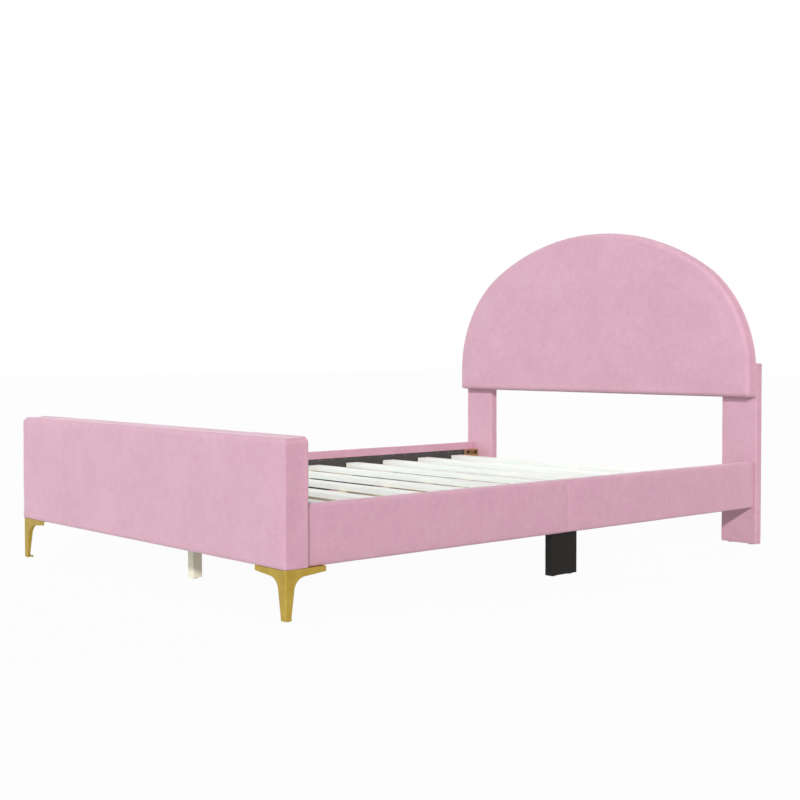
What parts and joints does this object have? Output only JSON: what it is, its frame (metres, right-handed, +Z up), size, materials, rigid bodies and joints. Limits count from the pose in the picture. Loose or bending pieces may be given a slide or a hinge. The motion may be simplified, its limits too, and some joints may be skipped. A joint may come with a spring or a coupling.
{
  "type": "upholstered platform bed",
  "caption": "Upholstered platform bed with a low box footboard, an arched headboard on padded posts, seamed side rails, a slat deck, swept metal corner legs and a centre support beam.",
  "frame": {"origin": "on the floor under the middle of the whole bed", "axes": "+X to the right seen from the foot, +Y from the footboard to the headboard, +Z up"},
  "size_m": [1.45, 2.021, 1.116],
  "materials": {
    "velvet": "soft pink velvet with a short cloudy nap",
    "lining": "thin black non-woven lining cloth",
    "foam": "upholstery foam",
    "board": "raw fibreboard and plywood",
    "pine": "planed pale softwood, unpainted",
    "slat_wood": "ivory white slats with a faint grain, matte",
    "black_wood": "black painted wood, matte",
    "gold_steel": "satin gold plated steel sheet",
    "zinc_steel": "yellow zinc plated steel",
    "glide_plastic": "pale grey nail-on plastic glides"
  },
  "bodies": {
    "root": {"headboard_cover": "velvet", "footboard_cover": "velvet", "left_post_cover": "velvet", "right_post_cover": "velvet", "left_foot_rail_cover": "velvet", "left_head_rail_cover": "velvet", "right_foot_rail_cover": "velvet", "right_head_rail_cover": "velvet", "headboard_lining": "lining", "footboard_lining": "lining", "rail_linings": "lining", "headboard_foam": "foam", "footboard_foam": "foam", "left_rail_foam": "foam", "right_rail_foam": "foam", "headboard_board": "board", "left_post_board": "board", "right_post_board": "board", "footboard_front_board": "board", "left_foot_rail_board": "board", "left_head_rail_board": "board", "right_foot_rail_board": "board", "right_head_rail_board": "board", "footboard_battens": "pine", "head_crossbar": "pine", "foot_centre_beam": "pine", "head_centre_beam": "pine", "foot_centre_leg": "pine", "middle_centre_leg": "pine", "head_centre_leg": "pine", "left_foot_slat_ledge": "pine", "left_head_slat_ledge": "pine", "right_foot_slat_ledge": "pine", "right_head_slat_ledge": "pine", "slat_01": "slat_wood", "slat_02": "slat_wood", "slat_03": "slat_wood", "slat_04": "slat_wood", "slat_05": "slat_wood", "slat_06": "slat_wood", "slat_07": "slat_wood", "slat_08": "slat_wood", "slat_09": "slat_wood", "slat_10": "slat_wood", "left_mid_leg": "black_wood", "right_mid_leg": "black_wood", "left_corner_leg": "gold_steel", "right_corner_leg": "gold_steel", "foot_brackets": "zinc_steel", "head_brackets": "zinc_steel", "frame_bolts": "zinc_steel", "long_bolts": "zinc_steel", "wood_screws": "zinc_steel", "tee_nuts": "zinc_steel", "leg_studs": "zinc_steel", "beam_joiner": "zinc_steel", "foot_beam_cradle": "zinc_steel", "head_beam_cradle": "zinc_steel", "floor_glides": "glide_plastic"}
  },
  "joints": []
}
